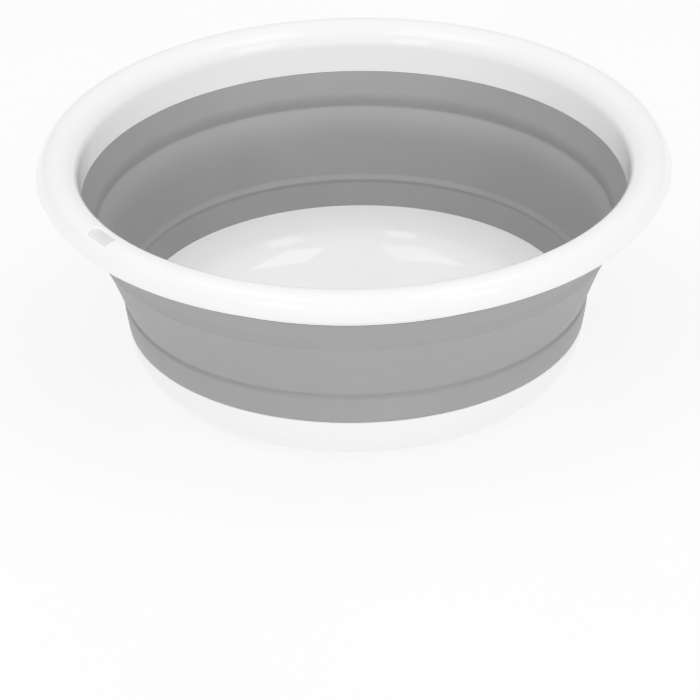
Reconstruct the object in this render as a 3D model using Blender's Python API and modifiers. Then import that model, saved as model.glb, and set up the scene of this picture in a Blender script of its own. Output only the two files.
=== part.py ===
"""Collapsible round basin: a rolled rim and a dished base, joined by a folding wall.

Metres, +Z up. The origin is the middle of the base's underside, with the wall standing open.
Everything is turned about Z, apart from the rim's hang slot and its two grip lips.
"""

import math

import bmesh
import bpy
from mathutils import Matrix, Vector

# ---- Driving dimensions ----
RING_STEPS = 64  # facets round every turned piece
ARC_STEPS = 4  # segments in each rounded part of a section
JOINT_GAP = 0.0003  # between pieces that meet

# Rim: an arch in section on a long inner leg that leans a little, open below. Its skirt curls inwards.
RIM_RADIUS = 0.1850
RIM_TOP = 0.1413
RIM_THICKNESS = 0.0026
RIM_OUTER_ARCH = 0.0100  # radius of the arch's outer half
RIM_INNER_ARCH = 0.0135  # radius of its inner half, above the leg
RIM_SEAM = 0.1130  # height where the rim's leg ends and the wall begins
RIM_SEAM_RADIUS = 0.1604  # inside the leg at the seam
SKIRT_CURL = 0.0062  # radius of the curl, outside
SKIRT_CURL_HEIGHT = 0.1297  # where the curl begins
SKIRT_CURL_ANGLE = 65
TONGUE_THICKNESS = 0.0010
TONGUE_LENGTH = 0.0040

# Hang slot through the top of the rim.
SLOT_AZIMUTH = math.radians(215)
SLOT_RADIUS = 0.1765
SLOT_LENGTH = 0.0200
SLOT_WIDTH = 0.0086
SLOT_CORNERS = (0.0012, 0.0036)  # at its +Y tangent end and at the other

# Two grip lips along the skirt, opposite each other.
LIP_HALF_ANGLE = math.radians(14)
LIP_PROUD = 0.0011
LIP_BOTTOM = 0.1268
LIP_TOP = 0.1330

# Folding wall: (height, outer radius, inner radius) at each change of direction.
WALL_TOP = (RIM_SEAM, RIM_SEAM_RADIUS + RIM_THICKNESS, RIM_SEAM_RADIUS)
UPPER_FOLD_TOP = (0.0975, 0.1566, 0.1539)
UPPER_CREASE = (0.0920, 0.1545, 0.1523)
MIDDLE_TOP = (0.0893, 0.1514, 0.1489)
MIDDLE_BULGE = (0.0765, 0.1461, 0.1431)
MIDDLE_BOTTOM = (0.0537, 0.1376, 0.1359)
LOWER_CREASE = (0.0514, 0.1363, 0.1347)
LOWER_TOP = (0.0497, 0.1370, 0.1345)
LOWER_SWELL = (0.0440, 0.1366, 0.1327)
WALL_FOOT_RADIUS = 0.1347

# Base: a dish on a low foot ring.
BASE_RADIUS = 0.1350
BASE_CORNER = 0.0345
BASE_SEAM_OUTSIDE = 0.0337
BASE_SEAM_INSIDE = 0.0363
BASE_INNER_RADIUS = 0.1300
BASE_INNER_CORNER = 0.0305
FLOOR_TOP = 0.0034
FOOT_INNER_RADIUS = 0.0880
FOOT_HEIGHT = 0.0010
UPSTAND_RADIUS = 0.1329
UPSTAND_THICKNESS = 0.0012
UPSTAND_TOP = 0.0386


# ---- Helpers ----
def clear_scene():
    for obj in list(bpy.data.objects):
        bpy.data.objects.remove(obj, do_unlink=True)


def new_collection(name):
    collection = bpy.data.collections.new(name)
    bpy.context.scene.collection.children.link(collection)
    return collection


def make_material(name, colour, roughness):
    material = bpy.data.materials.new(name)
    material.use_nodes = True
    shader = material.node_tree.nodes["Principled BSDF"]
    shader.inputs["Base Color"].default_value = (*colour, 1.0)
    shader.inputs["Roughness"].default_value = roughness
    shader.inputs["Metallic"].default_value = 0.0
    material.diffuse_color = (*colour, 1.0)
    return material


def arc(centre, radius, start, end):
    """Points of a section's arc, in degrees, from start to end."""
    points = []
    for step in range(ARC_STEPS + 1):
        angle = math.radians(start + (end - start) * step / ARC_STEPS)
        points.append((centre[0] + radius * math.cos(angle), centre[1] + radius * math.sin(angle)))
    return points


def turned(name, section, closed, material, collection):
    """A section of (radius, height) points, running down its outer side, turned about Z."""
    mesh = bpy.data.meshes.new(name)
    points = [(radius, 0.0, height) for radius, height in section]
    edges = [(i, i + 1) for i in range(len(points) - 1)]
    if closed:
        edges.append((len(points) - 1, 0))
    mesh.from_pydata(points, edges, [])
    obj = bpy.data.objects.new(name, mesh)
    collection.objects.link(obj)
    mesh.materials.append(material)
    screw = obj.modifiers.new("turn", "SCREW")
    screw.axis = "Z"
    screw.steps = RING_STEPS
    screw.render_steps = RING_STEPS
    screw.use_merge_vertices = True
    screw.merge_threshold = 0.00005
    screw.use_smooth_shade = True
    return obj


def boolean(target, operation, other):
    modifier = target.modifiers.new(other.name, "BOOLEAN")
    modifier.operation = operation
    modifier.solver = "EXACT"
    modifier.object = other


def as_helper(obj):
    obj.hide_render = True
    obj.display_type = "WIRE"


def at_height(station, height):
    return (height, station[1], station[2])


def wall_section(stations):
    """A closed section through stations of (height, outer radius, inner radius), top first."""
    down_outside = [(outer, height) for height, outer, _ in stations]
    up_inside = [(inner, height) for height, _, inner in reversed(stations)]
    return down_outside + up_inside


def upper_band_slope():
    """How far the upper band leans inwards for each metre down."""
    return (WALL_TOP[1] - UPPER_FOLD_TOP[1]) / (WALL_TOP[0] - UPPER_FOLD_TOP[0])


# ---- Rim ----
def rim_section():
    crest_radius = RIM_RADIUS - RIM_OUTER_ARCH
    outer_centre = (crest_radius, RIM_TOP - RIM_OUTER_ARCH)
    inner_centre = (crest_radius, RIM_TOP - RIM_INNER_ARCH)
    leg_rise = inner_centre[1] - RIM_SEAM
    leg_run = inner_centre[0] - RIM_INNER_ARCH - RIM_SEAM_RADIUS
    leg_end = 180 - math.degrees(math.atan2(leg_run, leg_rise))
    curl_centre = (RIM_RADIUS - SKIRT_CURL, SKIRT_CURL_HEIGHT)
    inside_curl = SKIRT_CURL - RIM_THICKNESS
    edge_centre = arc(curl_centre, (SKIRT_CURL + inside_curl) / 2, 0, -SKIRT_CURL_ANGLE)[-1]
    leg_outside = RIM_SEAM_RADIUS + RIM_THICKNESS
    tongue_inside = RIM_SEAM_RADIUS + (RIM_THICKNESS - TONGUE_THICKNESS) / 2
    tongue_outside = tongue_inside + TONGUE_THICKNESS
    tongue_bottom = RIM_SEAM - TONGUE_LENGTH
    lean = TONGUE_LENGTH * upper_band_slope()
    section = arc(outer_centre, RIM_OUTER_ARCH, 90, 0)
    section += arc(curl_centre, SKIRT_CURL, 0, -SKIRT_CURL_ANGLE)
    section += arc(edge_centre, RIM_THICKNESS / 2, -SKIRT_CURL_ANGLE, -SKIRT_CURL_ANGLE - 180)[1:]
    section += arc(curl_centre, inside_curl, -SKIRT_CURL_ANGLE, 0)[1:]
    section += arc(outer_centre, RIM_OUTER_ARCH - RIM_THICKNESS, 0, 90)
    section += arc(inner_centre, RIM_INNER_ARCH - RIM_THICKNESS, 90, leg_end)
    section += [(leg_outside, RIM_SEAM), (tongue_outside, RIM_SEAM)]
    section += [(tongue_outside - lean, tongue_bottom), (tongue_inside - lean, tongue_bottom)]
    section += [(tongue_inside, RIM_SEAM), (RIM_SEAM_RADIUS, RIM_SEAM)]
    section += arc(inner_centre, RIM_INNER_ARCH, leg_end, 90)
    return section


def grip_lip(name, azimuth, collection):
    """A low bar that follows the skirt, spun from a rectangle across its middle."""
    mesh = bpy.data.meshes.new(name)
    builder = bmesh.new()
    inside = RIM_RADIUS - RIM_THICKNESS / 2
    outside = RIM_RADIUS + LIP_PROUD
    corners = [(inside, LIP_BOTTOM), (outside, LIP_BOTTOM + LIP_PROUD)]
    corners += [(outside, LIP_TOP - LIP_PROUD), (inside, LIP_TOP)]
    turn = Matrix.Rotation(azimuth - LIP_HALF_ANGLE, 4, "Z")
    start = [builder.verts.new(turn @ Vector((radius, 0.0, height))) for radius, height in corners]
    face = builder.faces.new(start)
    bmesh.ops.spin(
        builder, geom=[face, *face.edges, *face.verts], axis=(0, 0, 1), cent=(0, 0, 0),
        angle=2 * LIP_HALF_ANGLE, steps=8, use_merge=False, use_duplicate=False,
    )
    bmesh.ops.recalc_face_normals(builder, faces=builder.faces)
    builder.to_mesh(mesh)
    builder.free()
    lip = bpy.data.objects.new(name, mesh)
    collection.objects.link(lip)
    as_helper(lip)
    return lip


def is_upright(edge):
    return abs(edge.verts[0].co.z - edge.verts[1].co.z) > RIM_OUTER_ARCH


def slot_cutter(collection):
    """A box whose upright edges are rounded, those at its -Y end more."""
    mesh = bpy.data.meshes.new("hang_slot_cutter")
    builder = bmesh.new()
    bmesh.ops.create_cube(builder, size=1.0)
    bmesh.ops.scale(builder, vec=(SLOT_WIDTH, SLOT_LENGTH, 3 * RIM_OUTER_ARCH), verts=builder.verts)
    for end, corner in zip((1, -1), SLOT_CORNERS):
        at_end = [edge for edge in builder.edges if is_upright(edge) and edge.verts[0].co.y * end > 0]
        bmesh.ops.bevel(builder, geom=at_end, offset=corner, segments=3, profile=0.5, affect="EDGES")
    bmesh.ops.recalc_face_normals(builder, faces=builder.faces)
    builder.to_mesh(mesh)
    builder.free()
    cutter = bpy.data.objects.new("hang_slot_cutter", mesh)
    cutter.location = (
        SLOT_RADIUS * math.cos(SLOT_AZIMUTH), SLOT_RADIUS * math.sin(SLOT_AZIMUTH), RIM_TOP,
    )
    cutter.rotation_euler = (0.0, 0.0, SLOT_AZIMUTH)
    collection.objects.link(cutter)
    as_helper(cutter)
    return cutter


def make_rim(parts, cutters):
    material = make_material("rim_white_polypropylene", (0.86, 0.86, 0.86), 0.16)
    rim = turned("rim", rim_section(), True, material, parts)
    boolean(rim, "UNION", grip_lip("grip_lip_right", 0.0, cutters))
    boolean(rim, "UNION", grip_lip("grip_lip_left", math.pi, cutters))
    boolean(rim, "DIFFERENCE", slot_cutter(cutters))
    return rim


# ---- Folding wall ----
def upper_band_section():
    """The top has a groove that takes the rim's tongue."""
    top = WALL_TOP[0] - JOINT_GAP
    groove_inside = RIM_SEAM_RADIUS + (RIM_THICKNESS - TONGUE_THICKNESS) / 2 - JOINT_GAP
    groove_outside = groove_inside + TONGUE_THICKNESS + 2 * JOINT_GAP
    groove_bottom = RIM_SEAM - TONGUE_LENGTH - JOINT_GAP
    lean = TONGUE_LENGTH * upper_band_slope()
    section = wall_section([at_height(WALL_TOP, top), UPPER_FOLD_TOP])
    section += [(groove_inside, top), (groove_inside - lean, groove_bottom)]
    section += [(groove_outside - lean, groove_bottom), (groove_outside, top)]
    return section


def upper_fold_section():
    top = at_height(UPPER_FOLD_TOP, UPPER_FOLD_TOP[0] - JOINT_GAP)
    return wall_section([top, UPPER_CREASE, MIDDLE_TOP])


def middle_band_section():
    top = at_height(MIDDLE_TOP, MIDDLE_TOP[0] - JOINT_GAP)
    return wall_section([top, MIDDLE_BULGE, MIDDLE_BOTTOM])


def lower_fold_section():
    top = at_height(MIDDLE_BOTTOM, MIDDLE_BOTTOM[0] - JOINT_GAP)
    return wall_section([top, LOWER_CREASE, LOWER_TOP])


def lower_band_section():
    """The foot slopes like the base's top edge, and has a groove for the base's upstand."""
    top = LOWER_TOP[0] - JOINT_GAP
    outside = (WALL_FOOT_RADIUS, seam_height(WALL_FOOT_RADIUS) + JOINT_GAP)
    inside = (BASE_INNER_RADIUS, BASE_SEAM_INSIDE + JOINT_GAP)
    groove_outside = UPSTAND_RADIUS + UPSTAND_THICKNESS / 2 + JOINT_GAP
    groove_inside = UPSTAND_RADIUS - UPSTAND_THICKNESS / 2 - JOINT_GAP
    groove_top = UPSTAND_TOP + JOINT_GAP
    section = [(LOWER_TOP[1], top), (LOWER_SWELL[1], LOWER_SWELL[0]), outside]
    section += [(groove_outside, seam_height(groove_outside) + JOINT_GAP), (groove_outside, groove_top)]
    section += [(groove_inside, groove_top), (groove_inside, seam_height(groove_inside) + JOINT_GAP)]
    section += [inside, (LOWER_SWELL[2], LOWER_SWELL[0]), (LOWER_TOP[2], top)]
    return section


def seam_height(radius):
    """Height of the base's sloping top edge at this radius."""
    share = (radius - BASE_INNER_RADIUS) / (BASE_RADIUS - BASE_INNER_RADIUS)
    return BASE_SEAM_INSIDE + share * (BASE_SEAM_OUTSIDE - BASE_SEAM_INSIDE)


def make_wall(parts):
    sections = {
        "upper_wall_band": upper_band_section(),
        "upper_fold_hinge": upper_fold_section(),
        "middle_wall_band": middle_band_section(),
        "lower_fold_hinge": lower_fold_section(),
        "lower_wall_band": lower_band_section(),
    }
    for name, section in sections.items():
        material = make_material(name + "_grey_elastomer", (0.36, 0.36, 0.36), 0.48)
        turned(name, section, True, material, parts)


# ---- Base ----
def base_section():
    outer_centre = (BASE_RADIUS - BASE_CORNER, BASE_CORNER)
    inner_centre = (BASE_INNER_RADIUS - BASE_INNER_CORNER, FLOOR_TOP + BASE_INNER_CORNER)
    upstand_inside = UPSTAND_RADIUS - UPSTAND_THICKNESS / 2
    upstand_outside = UPSTAND_RADIUS + UPSTAND_THICKNESS / 2
    section = [(0.0, FLOOR_TOP)]
    section += arc(inner_centre, BASE_INNER_CORNER, -90, 0)
    section += [(BASE_INNER_RADIUS, BASE_SEAM_INSIDE)]
    section += [(upstand_inside, seam_height(upstand_inside)), (upstand_inside, UPSTAND_TOP)]
    section += [(upstand_outside, UPSTAND_TOP), (upstand_outside, seam_height(upstand_outside))]
    section += [(BASE_RADIUS, BASE_SEAM_OUTSIDE)]
    section += arc(outer_centre, BASE_CORNER, -2, -90)
    section += [(FOOT_INNER_RADIUS, 0.0), (FOOT_INNER_RADIUS - FOOT_HEIGHT, FOOT_HEIGHT)]
    section += [(0.0, FOOT_HEIGHT)]
    return section


def make_base(parts):
    material = make_material("base_white_polypropylene", (0.86, 0.86, 0.86), 0.16)
    return turned("base_pan", base_section(), False, material, parts)


def main():
    clear_scene()
    parts = new_collection("folding_foot_basin")
    cutters = new_collection("cutters")
    make_rim(parts, cutters)
    make_wall(parts)
    make_base(parts)


main()
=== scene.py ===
"""Looks for the collapsible foot basin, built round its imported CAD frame. Metres, +Z up.

Three mouldings: a glossy white rim, one continuous grey folding wall that bends between the rim and
the base, and a glossy white base. Sections are written in millimetres, as (radius, height).
"""

import math

import bmesh
import bpy
import numpy as np
from mathutils import Matrix, Vector, noise


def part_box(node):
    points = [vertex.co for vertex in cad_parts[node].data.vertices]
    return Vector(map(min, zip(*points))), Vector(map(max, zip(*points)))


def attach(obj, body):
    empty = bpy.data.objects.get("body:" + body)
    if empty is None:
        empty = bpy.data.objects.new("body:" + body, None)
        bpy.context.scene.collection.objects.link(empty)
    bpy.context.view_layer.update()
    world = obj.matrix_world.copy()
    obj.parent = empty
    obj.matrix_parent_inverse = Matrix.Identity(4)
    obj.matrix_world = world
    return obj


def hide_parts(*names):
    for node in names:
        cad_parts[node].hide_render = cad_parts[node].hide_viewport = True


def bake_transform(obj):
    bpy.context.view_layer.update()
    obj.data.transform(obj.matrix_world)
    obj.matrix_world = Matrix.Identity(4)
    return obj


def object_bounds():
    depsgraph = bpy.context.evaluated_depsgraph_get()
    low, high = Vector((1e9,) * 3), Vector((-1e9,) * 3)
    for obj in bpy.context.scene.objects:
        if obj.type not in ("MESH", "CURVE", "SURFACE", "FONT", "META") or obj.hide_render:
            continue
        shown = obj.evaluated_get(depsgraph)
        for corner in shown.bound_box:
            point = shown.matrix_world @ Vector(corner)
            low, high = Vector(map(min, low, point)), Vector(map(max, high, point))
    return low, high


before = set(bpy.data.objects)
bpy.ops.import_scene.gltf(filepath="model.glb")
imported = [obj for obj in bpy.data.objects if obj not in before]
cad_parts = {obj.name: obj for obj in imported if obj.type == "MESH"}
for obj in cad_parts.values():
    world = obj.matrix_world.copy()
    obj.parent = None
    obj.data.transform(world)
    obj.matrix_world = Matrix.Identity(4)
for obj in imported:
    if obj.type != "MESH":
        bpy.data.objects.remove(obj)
cad_low, cad_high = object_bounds()

MM = 0.001

# ---- Taken from the frame, in millimetres ----
CAD_GAP = 0.3  # between two CAD pieces that touch
RIM_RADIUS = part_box("rim")[1].y / MM
LIP_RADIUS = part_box("rim")[1].x / MM
RIM_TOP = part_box("rim")[1].z / MM
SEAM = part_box("upper_wall_band")[1].z / MM + CAD_GAP  # where the rim ends and the wall starts
SEAM_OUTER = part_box("upper_wall_band")[1].x / MM
BASE_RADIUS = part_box("base_pan")[1].x / MM
BASE_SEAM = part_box("lower_wall_band")[0].z / MM  # where the wall ends and the base starts

# ---- Rim, millimetres ----
RIM_THICKNESS = 2.6
RIM_OUTER_ARCH = 10.0
RIM_INNER_ARCH = 13.5
RIM_FOOT_EDGES = (0.3, 0.2)  # rounding where it meets the wall, outside and inside
SKIRT_CURL = 6.2  # radius of the skirt's inward curl, outside
SKIRT_CURL_HEIGHT = 129.7
SKIRT_CURL_ANGLE = 65.0  # degrees
SLOT_AZIMUTH = math.radians(215)
SLOT_RADIUS = 176.5
SLOT_LENGTH = 20.0
SLOT_WIDTH = 8.6
SLOT_CORNERS = (1.2, 3.6)  # at the front end and at the back end
SLOT_EDGE = 0.9  # rounding where the slot meets the crest
SLOT_SHAFT = (-14.0, 6.0)  # the cutter's bottom and top, from the rim's top
LIP_HALF_ANGLE = math.radians(14)
LIP_BOTTOM = 126.8
LIP_TOP = 133.0
LIP_RISE = 1.6  # height over which it comes out at its bottom
LIP_FALL = 1.8  # and goes in again at its top
LIP_ENDS = (-0.010, 0.004)  # where it goes in at its ends, in radians from LIP_HALF_ANGLE
LIP_MARGIN = 0.02  # kept inside the CAD's lip by this
LIP_FINE_STEP = 0.2  # degrees between the extra azimuths at its ends
LIP_FINE_STEPS = 4  # of them on each side of an end
LIP_FINE_REACH = 0.016  # radians on each side of an end without even azimuths

# ---- Wall, millimetres ----
BASE_SEAM_OUTSIDE = BASE_SEAM - 0.2
BASE_SEAM_INSIDE = BASE_SEAM + 2.2
SEAM_CLEARANCE = 0.05  # between the wall's top edge and the rim
UNEVENNESS = 0.35  # how far the soft wall may stand out of true
WAVES_AROUND = 2.2  # about so many of its waves to a radian
WAVE_HEIGHT = 22.0  # and about so tall
# The middle band's inside: (radius, height) at its ends.
INNER_SHOULDER_TOP = (152.1, 92.5)
INNER_SHOULDER_BOTTOM = (136.5, 54.8)
INNER_FLARE_DEPTH = 5.0  # how far down its top flares out
INNER_FLARE_SLOPE = 1.1

# ---- Base, millimetres ----
BASE_CORNER = 34.5  # radius of the outside's corner
DISH_CORNER = 30.5  # radius of the corner between the dish's floor and its side
DISH_RADIUS = 130.0
DISH_FLOOR = 3.4
DISH_EDGE = 0.25  # rounding of the dish's top edge
DISH_EDGE_HEIGHT = 36.0  # of that rounding's middle
BASE_EDGE = 0.4  # rounding of the outside's top edge
BASE_EDGE_HEIGHT = 33.35
FOOT_RING = (88.6, 99.0)  # radii between which the base stands on its foot ring
FOOT_RING_EDGES = (0.6, 1.2)  # rounding inside and outside it
FOOT_RECESS = 1.0  # depth of the underside within the foot ring
# The moulding gate's mark in the middle of the underside: (radius, height), going inwards.
GATE_MARK = [(5.0, FOOT_RECESS), (4.6, 1.35), (1.6, 1.35), (1.3, 0.75), (0.0, 0.7)]

# ---- How finely the pieces are made ----
RING_STEPS = 288
DEGREES_PER_STEP = 6.0
LONGEST_EDGE = 1.1  # millimetres, along a section
SMALLEST_TURN = math.radians(0.5)  # a corner that turns less gets no fillet
LARGEST_REACH = 0.48  # the most of a side that one fillet takes
SAME_PLACE = 0.01  # millimetres; points closer than this are one point

# ---- Colours and gloss ----
NOISE_RANGE = (0.3, 0.7)  # where nearly all of a noise texture's values lie
RIM_WHITENESS = 0.79
BASE_WHITENESS = 0.79
PLASTIC_SHADE = (0.978, 0.981, 0.985)  # the plastic's darkest against its lightest
PLASTIC_ROUGHNESS = (0.020, 0.035)
PLASTIC_IOR = 1.55
ELASTOMER_TONES = (0.298, 0.314)  # from the darkest to the lightest grey
ELASTOMER_ROUGHNESS = (0.44, 0.56)
ELASTOMER_IOR = 1.48
FLOOR_TONES = (0.390, 0.410)
GLOW_TONES = (0.99, 1.0)

# ---- Studio ----
CAMERA_ELEVATION = math.radians(29.04)
CAMERA_DISTANCE = 3.3617
CAMERA_AIM = Vector((-0.0042, 0.0, 0.0070))
CAMERA_ROLL = math.radians(-1.05)
CAMERA_LENS = 290.0
FLOOR_SIZE = 30.0
FLOOR_GAP = 0.0002  # between the floor and the basin's foot
WORLD_LIGHT = 0.57
CEILING_LIGHT = 0.48  # added overhead, in the direction below
CEILING_DIRECTION = (0.0, -0.42, 0.91)
FLOOR_GLOW = 0.63  # keeps the floor pale under the basin
WHITE_LEVEL = 1.16  # light that comes out fully white
# The camera's response, (light in, tone out): even up to the greys, then gentle on the whites.
RESPONSE = ((0.45, 0.45), (0.70, 0.77), (0.85, 0.87), (1.0, 0.947))
LEVEL_ABOVE = 1.5  # softboxes that hang higher than this face straight down
SOFTBOX_AIM = Vector((0.0, 0.0, 0.1))  # where the lower ones face
# name: (middle, width, depth, light in watts)
SOFTBOXES = {
    "softbox_right": ((0.80, -0.38, 2.0), 0.75, 1.3, 7.5),
    "softbox_left": ((-0.83, -0.45, 2.0), 0.92, 1.35, 7.8),
    "softbox_front_right": ((1.35, -1.55, 1.05), 0.68, 1.1, 5.0),
    "softbox_front_left": ((-0.90, -1.85, 0.90), 0.55, 1.05, 4.2),
    "softbox_front": ((0.0, -2.6, 0.55), 2.2, 0.9, 5.0),
}


# ---- Sections ----
def arc_steps(radius, degrees):
    """How many straight steps an arc gets: fine enough in angle and in length."""
    length = radius * math.radians(degrees)
    return max(2, math.ceil(degrees / DEGREES_PER_STEP), math.ceil(length / LONGEST_EDGE))


def arc(centre, radius, start, end):
    """Points of an arc from start to end, in degrees."""
    steps = arc_steps(radius, abs(end - start))
    angles = [math.radians(start + (end - start) * step / steps) for step in range(steps + 1)]
    return [(centre[0] + radius * math.cos(a), centre[1] + radius * math.sin(a)) for a in angles]


def filleted(corners):
    """A closed section through corners (radius, height, fillet), each rounded by its fillet."""
    points = []
    for i, (x, y, fillet) in enumerate(corners):
        before, after = Vector(corners[i - 1][:2]), Vector(corners[(i + 1) % len(corners)][:2])
        corner = Vector((x, y))
        back, ahead = before - corner, after - corner
        turn = math.pi - back.angle(ahead)
        if fillet == 0 or turn < SMALLEST_TURN:
            points.append((x, y))
            continue
        longest = LARGEST_REACH * min(back.length, ahead.length)
        reach = min(fillet * math.tan(turn / 2), longest)
        start, end = corner + back.normalized() * reach, corner + ahead.normalized() * reach
        radius = reach / math.tan(turn / 2)
        steps = arc_steps(radius, math.degrees(turn))
        centre = corner + (back.normalized() + ahead.normalized()).normalized() * (
            radius / math.cos(turn / 2)
        )
        first, sweep = start - centre, (start - centre).angle_signed(end - centre)
        for step in range(steps + 1):
            spoke = first.copy()
            spoke.rotate(Matrix.Rotation(-sweep * step / steps, 2))
            points.append(tuple(centre + spoke))
    return points


def divided(section, closed=True):
    """The section again, with no stretch longer than LONGEST_EDGE and no doubled points."""
    points = []
    ends = section[1:] + section[:1] if closed else section[1:]
    for (x0, y0), (x1, y1) in zip(section, ends):
        length = math.hypot(x1 - x0, y1 - y0)
        if length < SAME_PLACE:
            continue
        steps = math.ceil(length / LONGEST_EDGE)
        for step in range(steps):
            share = step / steps
            points.append((x0 + (x1 - x0) * share, y0 + (y1 - y0) * share))
    return points if closed else points + [section[-1]]


def turned(name, section, azimuths, closed=True):
    """A mesh turned about Z, with a ring of points for each azimuth."""
    rings, count = len(azimuths), len(section)
    profile = np.array(section) * MM
    across = np.array([(math.cos(a), math.sin(a)) for a in azimuths])
    points = np.empty((rings, count, 3))
    points[:, :, :2] = across[:, None, :] * profile[None, :, :1]
    points[:, :, 2] = profile[None, :, 1]
    faces = []
    for ring in range(rings):
        following = (ring + 1) % rings
        for i in range(count if closed else count - 1):
            j = (i + 1) % count
            here, there = ring * count, following * count
            faces.append((here + i, here + j, there + j, there + i))
    mesh = bpy.data.meshes.new(name)
    mesh.from_pydata(points.reshape(-1, 3).tolist(), [], faces)
    builder = bmesh.new()
    builder.from_mesh(mesh)
    if not closed:
        bmesh.ops.remove_doubles(builder, verts=builder.verts, dist=SAME_PLACE * MM)
    bmesh.ops.recalc_face_normals(builder, faces=builder.faces)
    builder.to_mesh(mesh)
    builder.free()
    mesh.shade_smooth()
    obj = bpy.data.objects.new(name, mesh)
    bpy.context.scene.collection.objects.link(obj)
    return obj


def even_azimuths(steps=RING_STEPS):
    return [2 * math.pi * step / steps for step in range(steps)]


def smooth_step(value, low, high):
    share = min(max((value - low) / (high - low), 0.0), 1.0)
    return share * share * (3 - 2 * share)


# ---- Rim ----
def rim_centres():
    """Centres of the crest's outer and inner arches."""
    crest = RIM_RADIUS - RIM_OUTER_ARCH
    return (crest, RIM_TOP - RIM_OUTER_ARCH), (crest, RIM_TOP - RIM_INNER_ARCH)


def crest_point(radius):
    """Height and upward normal (radial, vertical) of the crest at a radius, in millimetres."""
    outer, inner = rim_centres()
    centre, arch = (outer, RIM_OUTER_ARCH) if radius > outer[0] else (inner, RIM_INNER_ARCH)
    run = (radius - centre[0]) / arch
    rise = math.sqrt(1 - run * run)
    return centre[1] + arch * rise, (run, rise)


def rim_section():
    """The crest's two arches, the skirt's curl outside and the leg down to the wall inside."""
    outer, inner = rim_centres()
    outer_edge, inner_edge = RIM_FOOT_EDGES
    leg_inside = SEAM_OUTER - RIM_THICKNESS
    lean = math.degrees(math.atan2(inner[0] - RIM_INNER_ARCH - leg_inside, inner[1] - SEAM))
    curl = (RIM_RADIUS - SKIRT_CURL, SKIRT_CURL_HEIGHT)
    half = RIM_THICKNESS / 2
    edge = arc(curl, SKIRT_CURL - half, 0, -SKIRT_CURL_ANGLE)[-1]
    section = arc(outer, RIM_OUTER_ARCH, 90, 0)
    section += arc(curl, SKIRT_CURL, 0, -SKIRT_CURL_ANGLE)
    section += arc(edge, half, -SKIRT_CURL_ANGLE, -SKIRT_CURL_ANGLE - 180)
    section += arc(curl, SKIRT_CURL - RIM_THICKNESS, -SKIRT_CURL_ANGLE, 0)
    section += arc(outer, RIM_OUTER_ARCH - RIM_THICKNESS, 0, 90)
    section += arc(inner, RIM_INNER_ARCH - RIM_THICKNESS, 90, 180 - lean)
    section += arc((SEAM_OUTER - outer_edge, SEAM + outer_edge), outer_edge, 0, -90)
    section += arc((leg_inside + inner_edge, SEAM + inner_edge), inner_edge, -90, -180)
    section += arc(inner, RIM_INNER_ARCH, 180 - lean, 90)
    return divided(section)


def rim_azimuths():
    """Even steps, with more of them at the ends of the two grip lips."""
    azimuths = set(even_azimuths())
    steps = range(-LIP_FINE_STEPS, LIP_FINE_STEPS + 1)
    for middle in (0, math.pi):
        for end in (-LIP_HALF_ANGLE, LIP_HALF_ANGLE):
            azimuths = {
                a for a in azimuths if abs(math.remainder(a - middle - end, math.tau)) > LIP_FINE_REACH
            }
            fine = [middle + end + math.radians(LIP_FINE_STEP * step) for step in steps]
            azimuths |= {a % math.tau for a in fine}
    return sorted(azimuths)


def raise_grip_lips(mesh):
    """Two low bars on the skirt, opposite each other, for the fingers."""
    ends = [LIP_HALF_ANGLE + end for end in LIP_ENDS]
    for vertex in mesh.vertices:
        x, y, z = vertex.co / MM
        radius = math.hypot(x, y)
        if radius < RIM_RADIUS - 0.5 * RIM_THICKNESS or not LIP_BOTTOM < z < LIP_TOP:
            continue
        off_axis = math.atan2(abs(y), abs(x))
        along = 1 - smooth_step(off_axis, *ends)
        rise = smooth_step(z, LIP_BOTTOM, LIP_BOTTOM + LIP_RISE)
        fall = 1 - smooth_step(z, LIP_TOP - LIP_FALL, LIP_TOP)
        proud = (LIP_RADIUS - RIM_RADIUS - LIP_MARGIN) * along * (rise * fall)
        vertex.co.x *= (radius + proud) / radius
        vertex.co.y *= (radius + proud) / radius


def slot_outline(offset):
    """Points round the slot, pushed out by offset: (outwards along the radius, along the rim)."""
    points = []
    quarters = ((1, 1), (-1, 1), (-1, -1), (1, -1))
    for number, (side, end) in enumerate(quarters):
        corner = SLOT_CORNERS[0] if end > 0 else SLOT_CORNERS[1]
        centre = (side * (SLOT_WIDTH / 2 - corner), end * (SLOT_LENGTH / 2 - corner))
        points += arc(centre, corner + offset, 90 * number, 90 * number + 90)
    return points


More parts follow.
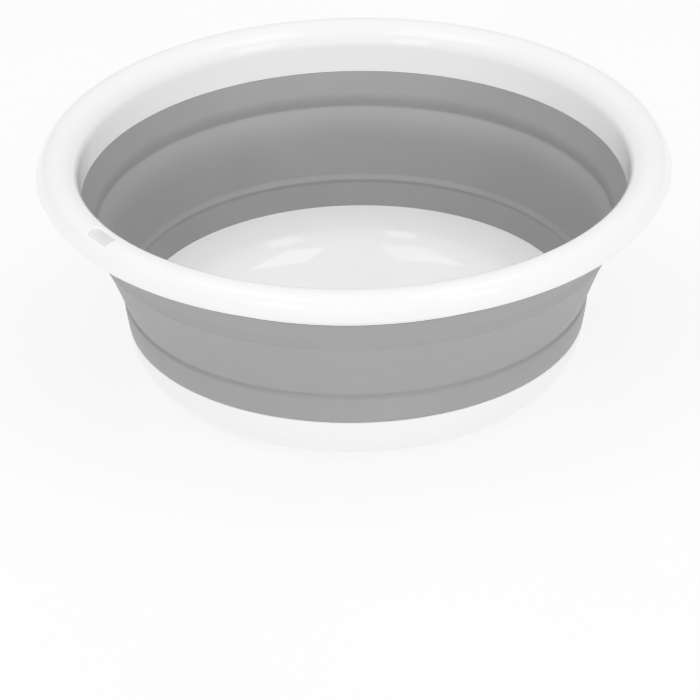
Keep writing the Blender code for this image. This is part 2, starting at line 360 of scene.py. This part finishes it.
def slot_cutter():
    """A shaft with the slot's outline, flared where it meets the crest to leave a round edge."""
    turn = Matrix.Rotation(SLOT_AZIMUTH, 3, "Z")
    flare = [math.radians(angle) for angle in range(0, 76, 15)]
    # Each ring: how far it is pushed out, how far it is lifted, and whether that is straight up
    # from the rim's top rather than along the crest's normal.
    rings = [(0.0, SLOT_SHAFT[0], True)]
    rings += [(SLOT_EDGE * (1 - math.cos(a)), -SLOT_EDGE * (1 - math.sin(a)), False) for a in flare]
    rings += [(1.1 * SLOT_EDGE, 0.07 * SLOT_EDGE, False), (1.1 * SLOT_EDGE, SLOT_SHAFT[1], True)]
    builder = bmesh.new()
    loops = []
    for offset, lift, upright in rings:
        loop = []
        for out, along in slot_outline(offset):
            place = Vector((SLOT_RADIUS + out, along, 0.0))
            radius = place.length
            height, (run, rise) = crest_point(radius)
            outward = place.normalized()
            if upright:
                place.z = RIM_TOP + lift
            else:
                place = place + outward * (run * lift)
                place.z = height + rise * lift
            loop.append(builder.verts.new(turn @ place * MM))
        loops.append(loop)
    for lower, upper in zip(loops, loops[1:]):
        for i in range(len(lower)):
            j = (i + 1) % len(lower)
            builder.faces.new((lower[i], lower[j], upper[j], upper[i]))
    builder.faces.new(list(reversed(loops[0])))
    builder.faces.new(loops[-1])
    bmesh.ops.recalc_face_normals(builder, faces=builder.faces)
    mesh = bpy.data.meshes.new("slot_cutter")
    builder.to_mesh(mesh)
    builder.free()
    cutter = bpy.data.objects.new("slot_cutter", mesh)
    bpy.context.scene.collection.objects.link(cutter)
    return cutter


def cut(target, cutter):
    """Cuts the target's mesh and removes the cutter."""
    modifier = target.modifiers.new("cut", "BOOLEAN")
    modifier.operation = "DIFFERENCE"
    modifier.solver = "EXACT"
    modifier.object = cutter
    graph = bpy.context.evaluated_depsgraph_get()
    target.data = bpy.data.meshes.new_from_object(target.evaluated_get(graph))
    target.modifiers.clear()
    bpy.data.objects.remove(cutter)


def make_rim():
    rim = turned("rim_shell", rim_section(), rim_azimuths())
    raise_grip_lips(rim.data)
    cut(rim, slot_cutter())
    rim.data.shade_smooth()
    rim.data.set_sharp_from_angle(angle=math.radians(40))
    return rim


# ---- Folding wall ----
def inner_shoulder():
    """The middle band's inside, going down: nearly level at the top, then steeper and steeper."""
    top, bottom = INNER_SHOULDER_TOP, INNER_SHOULDER_BOTTOM
    drop = top[1] - bottom[1]
    steps = math.ceil(drop / LONGEST_EDGE)
    flare = INNER_FLARE_DEPTH * INNER_FLARE_SLOPE
    slope = (top[0] - bottom[0] - flare * (1 - math.exp(-drop / INNER_FLARE_DEPTH))) / drop
    points = []
    for step in range(steps):
        down = drop * step / steps
        run = slope * down + flare * (1 - math.exp(-down / INNER_FLARE_DEPTH))
        points.append((top[0] - run, top[1] - down))
    return points


def wall_section():
    """Both sides of the wall: three bands with a step at each of the two fold lines.

    The corners are (radius, height, fillet), down the outside and up the inside.
    """
    outside = [
        # Upper band
        (SEAM_OUTER, SEAM - SEAM_CLEARANCE, 0.3),
        (156.5, 99.6, 6.0),
        # Upper fold line
        (155.8, 96.8, 2.0),
        (155.2, 94.4, 0.9),
        (153.5, 92.9, 0.7),
        (153.2, 91.0, 2.0),
        (152.1, 88.9, 3.0),
        # Middle band
        (147.3, 79.0, 60.0),
        (142.4, 67.0, 60.0),
        # Lower fold line
        (137.4, 53.9, 2.5),
        (136.1, 52.5, 0.6),
        (137.4, 50.5, 2.4),
        # Lower band
        (136.8, 44.5, 14.0),
        (135.6, 37.5, 8.0),
        (134.6, BASE_SEAM_OUTSIDE, 0.25),
    ]
    inside = [
        # Lower band
        (130.0, BASE_SEAM_INSIDE, 0.25),
        (132.5, 43.5, 30.0),
        # Lower fold line
        (134.8, 49.8, 1.6),
        (134.7, 51.9, 0.8),
        # Middle band
        (*INNER_SHOULDER_BOTTOM, 5.0),
        *reversed([(*point, 0.0) for point in inner_shoulder()]),
        # Upper band
        (152.6, 93.4, 0.9),
        (152.9, 99.4, 14.0),
        (SEAM_OUTER - RIM_THICKNESS, SEAM - SEAM_CLEARANCE, 0.3),
    ]
    return divided(filleted(outside + inside))


def unevenness(azimuth, height):
    """How far the soft wall stands out of true, in millimetres, none at its two bonded edges."""
    around = Vector((math.cos(azimuth), math.sin(azimuth), 0.0)) * WAVES_AROUND
    wave = noise.noise(around + Vector((0, 0, height / WAVE_HEIGHT)))
    above_base = smooth_step(height, BASE_SEAM + 4, BASE_SEAM + 16)
    below_rim = 1 - smooth_step(height, SEAM - 14, SEAM - 3)
    return UNEVENNESS * wave * (above_base * below_rim)


def make_wall():
    wall = turned("folding_wall", wall_section(), even_azimuths())
    for vertex in wall.data.vertices:
        azimuth = math.atan2(vertex.co.y, vertex.co.x)
        radius = math.hypot(vertex.co.x, vertex.co.y)
        shift = unevenness(azimuth, vertex.co.z / MM) * MM
        vertex.co.x *= (radius + shift) / radius
        vertex.co.y *= (radius + shift) / radius
    wall.data.set_sharp_from_angle(angle=math.radians(50))
    remember_rest(wall.data)
    return wall


def remember_rest(mesh):
    """Keeps each point's place at rest, so that the material's grain moves with the wall."""
    attribute = mesh.attributes.new("rest_place", "FLOAT_VECTOR", "POINT")
    places = np.array([vertex.co for vertex in mesh.vertices]).ravel()
    attribute.data.foreach_set("vector", places)


# ---- Base ----
def base_section():
    """A dish on a foot ring, from the middle of its floor out, down and back to the middle."""
    ring_inside, ring_outside = FOOT_RING
    inner_edge, outer_edge = FOOT_RING_EDGES
    outside = (BASE_RADIUS - BASE_CORNER, BASE_CORNER)
    inside = (DISH_RADIUS - DISH_CORNER, DISH_FLOOR + DISH_CORNER)
    section = [(0.0, DISH_FLOOR)]
    section += arc(inside, DISH_CORNER, -90, 0)
    section += arc((DISH_RADIUS + DISH_EDGE, DISH_EDGE_HEIGHT), DISH_EDGE, 180, 90)
    section += arc((BASE_RADIUS - BASE_EDGE, BASE_EDGE_HEIGHT), BASE_EDGE, 70, 0)
    section += arc(outside, BASE_CORNER, -3, -86)
    section += arc((ring_outside, outer_edge), outer_edge, -86, -90)
    section += arc((ring_inside, inner_edge), inner_edge, -90, -180)
    section += arc((ring_inside - 2 * inner_edge, inner_edge), FOOT_RECESS - inner_edge, 0, 90)
    section += GATE_MARK
    return divided(section, closed=False)


def make_base():
    base = turned("base_dish", base_section(), even_azimuths(), closed=False)
    base.data.set_sharp_from_angle(angle=math.radians(35))
    return base


# ---- Materials ----
class Nodes:
    """A material's nodes, added and joined in one call each."""

    def __init__(self, name):
        self.material = bpy.data.materials.new(name)
        self.material.use_nodes = True
        self.tree = self.material.node_tree
        self.shader = self.tree.nodes["Principled BSDF"]

    def add(self, kind, inputs=None, **settings):
        node = self.tree.nodes.new(kind)
        for key, value in settings.items():
            setattr(node, key, value)
        for key, value in (inputs or {}).items():
            if isinstance(value, bpy.types.NodeSocket):
                self.tree.links.new(value, node.inputs[key])
            else:
                node.inputs[key].default_value = value
        return node

    def noise(self, place, scale, detail=2.0, roughness=0.5):
        inputs = {"Vector": place, "Scale": scale, "Detail": detail, "Roughness": roughness}
        return self.add("ShaderNodeTexNoise", inputs).outputs["Fac"]

    def remap(self, value, low, high, source=NOISE_RANGE):
        """From one number to another as the value goes through the source's range."""
        inputs = {"Value": value, "To Min": low, "To Max": high}
        inputs["From Min"], inputs["From Max"] = source
        return self.add("ShaderNodeMapRange", inputs).outputs["Result"]

    def ramp(self, value, dark, light, source=NOISE_RANGE):
        """From one colour to another as the value goes through the source's range."""
        node = self.add("ShaderNodeValToRGB", {"Fac": value})
        for element, position, colour in zip(node.color_ramp.elements, source, (dark, light)):
            element.position = position
            element.color = (*colour, 1.0)
        return node.outputs["Color"]

    def grey_ramp(self, value, dark, light):
        return self.ramp(value, [dark] * 3, [light] * 3)

    def bump(self, height, strength, distance, normal=None):
        inputs = {"Height": height, "Strength": strength, "Distance": distance}
        if normal is not None:
            inputs["Normal"] = normal
        return self.add("ShaderNodeBump", inputs).outputs["Normal"]

    def join(self, output, socket):
        self.tree.links.new(output, self.shader.inputs[socket])


def gloss_plastic(name, whiteness):
    """Polished white polypropylene: faint flow marks, soft waves from cooling, fine rub marks."""
    dark, light = [whiteness * tint for tint in PLASTIC_SHADE], [whiteness] * 3
    nodes = Nodes(name)
    place = nodes.add("ShaderNodeTexCoord").outputs["Object"]
    broad = nodes.noise(place, 9.0, detail=2.0)
    cloud = nodes.noise(place, 34.0, detail=3.0)
    fine = nodes.noise(place, 900.0, detail=2.0)
    nodes.join(nodes.ramp(cloud, dark, light), "Base Color")
    nodes.join(nodes.remap(cloud, *PLASTIC_ROUGHNESS), "Roughness")
    waves = nodes.bump(broad, 0.35, 0.0012)
    nodes.join(nodes.bump(fine, 0.015, 0.00002, waves), "Normal")
    nodes.shader.inputs["IOR"].default_value = PLASTIC_IOR
    return nodes.material


def satin_elastomer(name):
    """Grey thermoplastic elastomer: a fine spark-eroded grain, mottling and a soft sheen."""
    nodes = Nodes(name)
    place = nodes.add("ShaderNodeAttribute", attribute_name="rest_place").outputs["Vector"]
    mottle = nodes.noise(place, 26.0, detail=4.0, roughness=0.6)
    grain = nodes.noise(place, 1500.0, detail=3.0, roughness=0.6)
    pebble = nodes.noise(place, 420.0, detail=2.0)
    nodes.join(nodes.grey_ramp(mottle, *ELASTOMER_TONES), "Base Color")
    nodes.join(nodes.remap(mottle, *ELASTOMER_ROUGHNESS), "Roughness")
    rough = nodes.bump(pebble, 0.12, 0.00012)
    nodes.join(nodes.bump(grain, 0.20, 0.00005, rough), "Normal")
    nodes.shader.inputs["IOR"].default_value = ELASTOMER_IOR
    return nodes.material


def floor_paint(name):
    """A matt pale floor that gives off a little light of its own."""
    nodes = Nodes(name)
    place = nodes.add("ShaderNodeTexCoord").outputs["Object"]
    cloud = nodes.noise(place, 3.0, detail=2.0)
    nodes.join(nodes.grey_ramp(cloud, *FLOOR_TONES), "Base Color")
    nodes.join(nodes.grey_ramp(cloud, *GLOW_TONES), "Emission Color")
    nodes.shader.inputs["Emission Strength"].default_value = FLOOR_GLOW
    nodes.shader.inputs["Roughness"].default_value = 0.75
    nodes.shader.inputs["Specular IOR Level"].default_value = 0.2
    return nodes.material


# ---- Stage ----
def make_floor():
    mesh = bpy.data.meshes.new("floor")
    builder = bmesh.new()
    bmesh.ops.create_grid(builder, x_segments=2, y_segments=2, size=FLOOR_SIZE / 2)
    builder.to_mesh(mesh)
    builder.free()
    floor = bpy.data.objects.new("floor", mesh)
    floor.location.z = cad_low.z - FLOOR_GAP
    bpy.context.scene.collection.objects.link(floor)
    mesh.materials.append(floor_paint("floor_paint"))


def make_world():
    """A white surround that is brighter overhead."""
    world = bpy.data.worlds.new("studio")
    world.use_nodes = True
    nodes, links = world.node_tree.nodes, world.node_tree.links
    background = nodes["Background"]
    background.inputs["Color"].default_value = (1.0, 1.0, 1.0, 1.0)
    direction = nodes.new("ShaderNodeTexCoord").outputs["Generated"]
    towards = nodes.new("ShaderNodeVectorMath")
    towards.operation = "DOT_PRODUCT"
    towards.inputs[1].default_value = CEILING_DIRECTION
    strength = nodes.new("ShaderNodeMapRange")
    strength.inputs["To Min"].default_value = WORLD_LIGHT
    strength.inputs["To Max"].default_value = WORLD_LIGHT + CEILING_LIGHT
    links.new(direction, towards.inputs[0])
    links.new(towards.outputs["Value"], strength.inputs["Value"])
    links.new(strength.outputs["Result"], background.inputs["Strength"])
    bpy.context.scene.world = world


def make_softboxes():
    for name, (middle, width, depth, watts) in SOFTBOXES.items():
        light = bpy.data.lights.new(name, "AREA")
        light.shape = "RECTANGLE"
        light.size, light.size_y = width, depth
        light.energy = watts
        lamp = bpy.data.objects.new(name, light)
        lamp.location = middle
        if middle[2] < LEVEL_ABOVE:
            aim = SOFTBOX_AIM - Vector(middle)
            lamp.rotation_euler = aim.to_track_quat("-Z", "Y").to_euler()
        bpy.context.scene.collection.objects.link(lamp)


def make_camera():
    camera = bpy.data.cameras.new("camera")
    camera.lens = CAMERA_LENS
    camera.sensor_width = 36.0
    camera.clip_start, camera.clip_end = 0.1, 100.0
    obj = bpy.data.objects.new("camera", camera)
    back = Vector((0.0, -math.cos(CAMERA_ELEVATION), math.sin(CAMERA_ELEVATION)))
    obj.location = CAMERA_AIM + back * CAMERA_DISTANCE
    level = (-back).to_track_quat("-Z", "Y").to_matrix()
    obj.rotation_euler = (level @ Matrix.Rotation(-CAMERA_ROLL, 3, "Z").inverted()).to_euler()
    bpy.context.scene.collection.objects.link(obj)
    bpy.context.scene.camera = obj


def set_response():
    """Gives the view the response curve, over all three colours at once."""
    settings = bpy.context.scene.view_settings
    settings.view_transform = "Standard"
    settings.use_curve_mapping = True
    mapping = settings.curve_mapping
    mapping.white_level = (WHITE_LEVEL, WHITE_LEVEL, WHITE_LEVEL)
    combined = mapping.curves[3]
    combined.points[1].location = (1.0, 1.0)
    for light, tone in RESPONSE:
        combined.points.new(light / WHITE_LEVEL, tone)
    mapping.update()


# ---- The object ----
make_floor()
make_world()
make_softboxes()
make_camera()
set_response()

rim_white = gloss_plastic("rim_white_polypropylene", RIM_WHITENESS)
base_white = gloss_plastic("base_white_polypropylene", BASE_WHITENESS)
grey = satin_elastomer("grey_elastomer")

rim = make_rim()
rim.data.materials.clear()
rim.data.materials.append(rim_white)
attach(rim, "rim")
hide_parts("rim")

base = make_base()
base.data.materials.append(base_white)
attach(base, "base")
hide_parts("base_pan")

wall = make_wall()
wall.data.materials.append(grey)
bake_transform(wall)
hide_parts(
    "upper_wall_band", "upper_fold_hinge", "middle_wall_band", "lower_fold_hinge", "lower_wall_band"
)
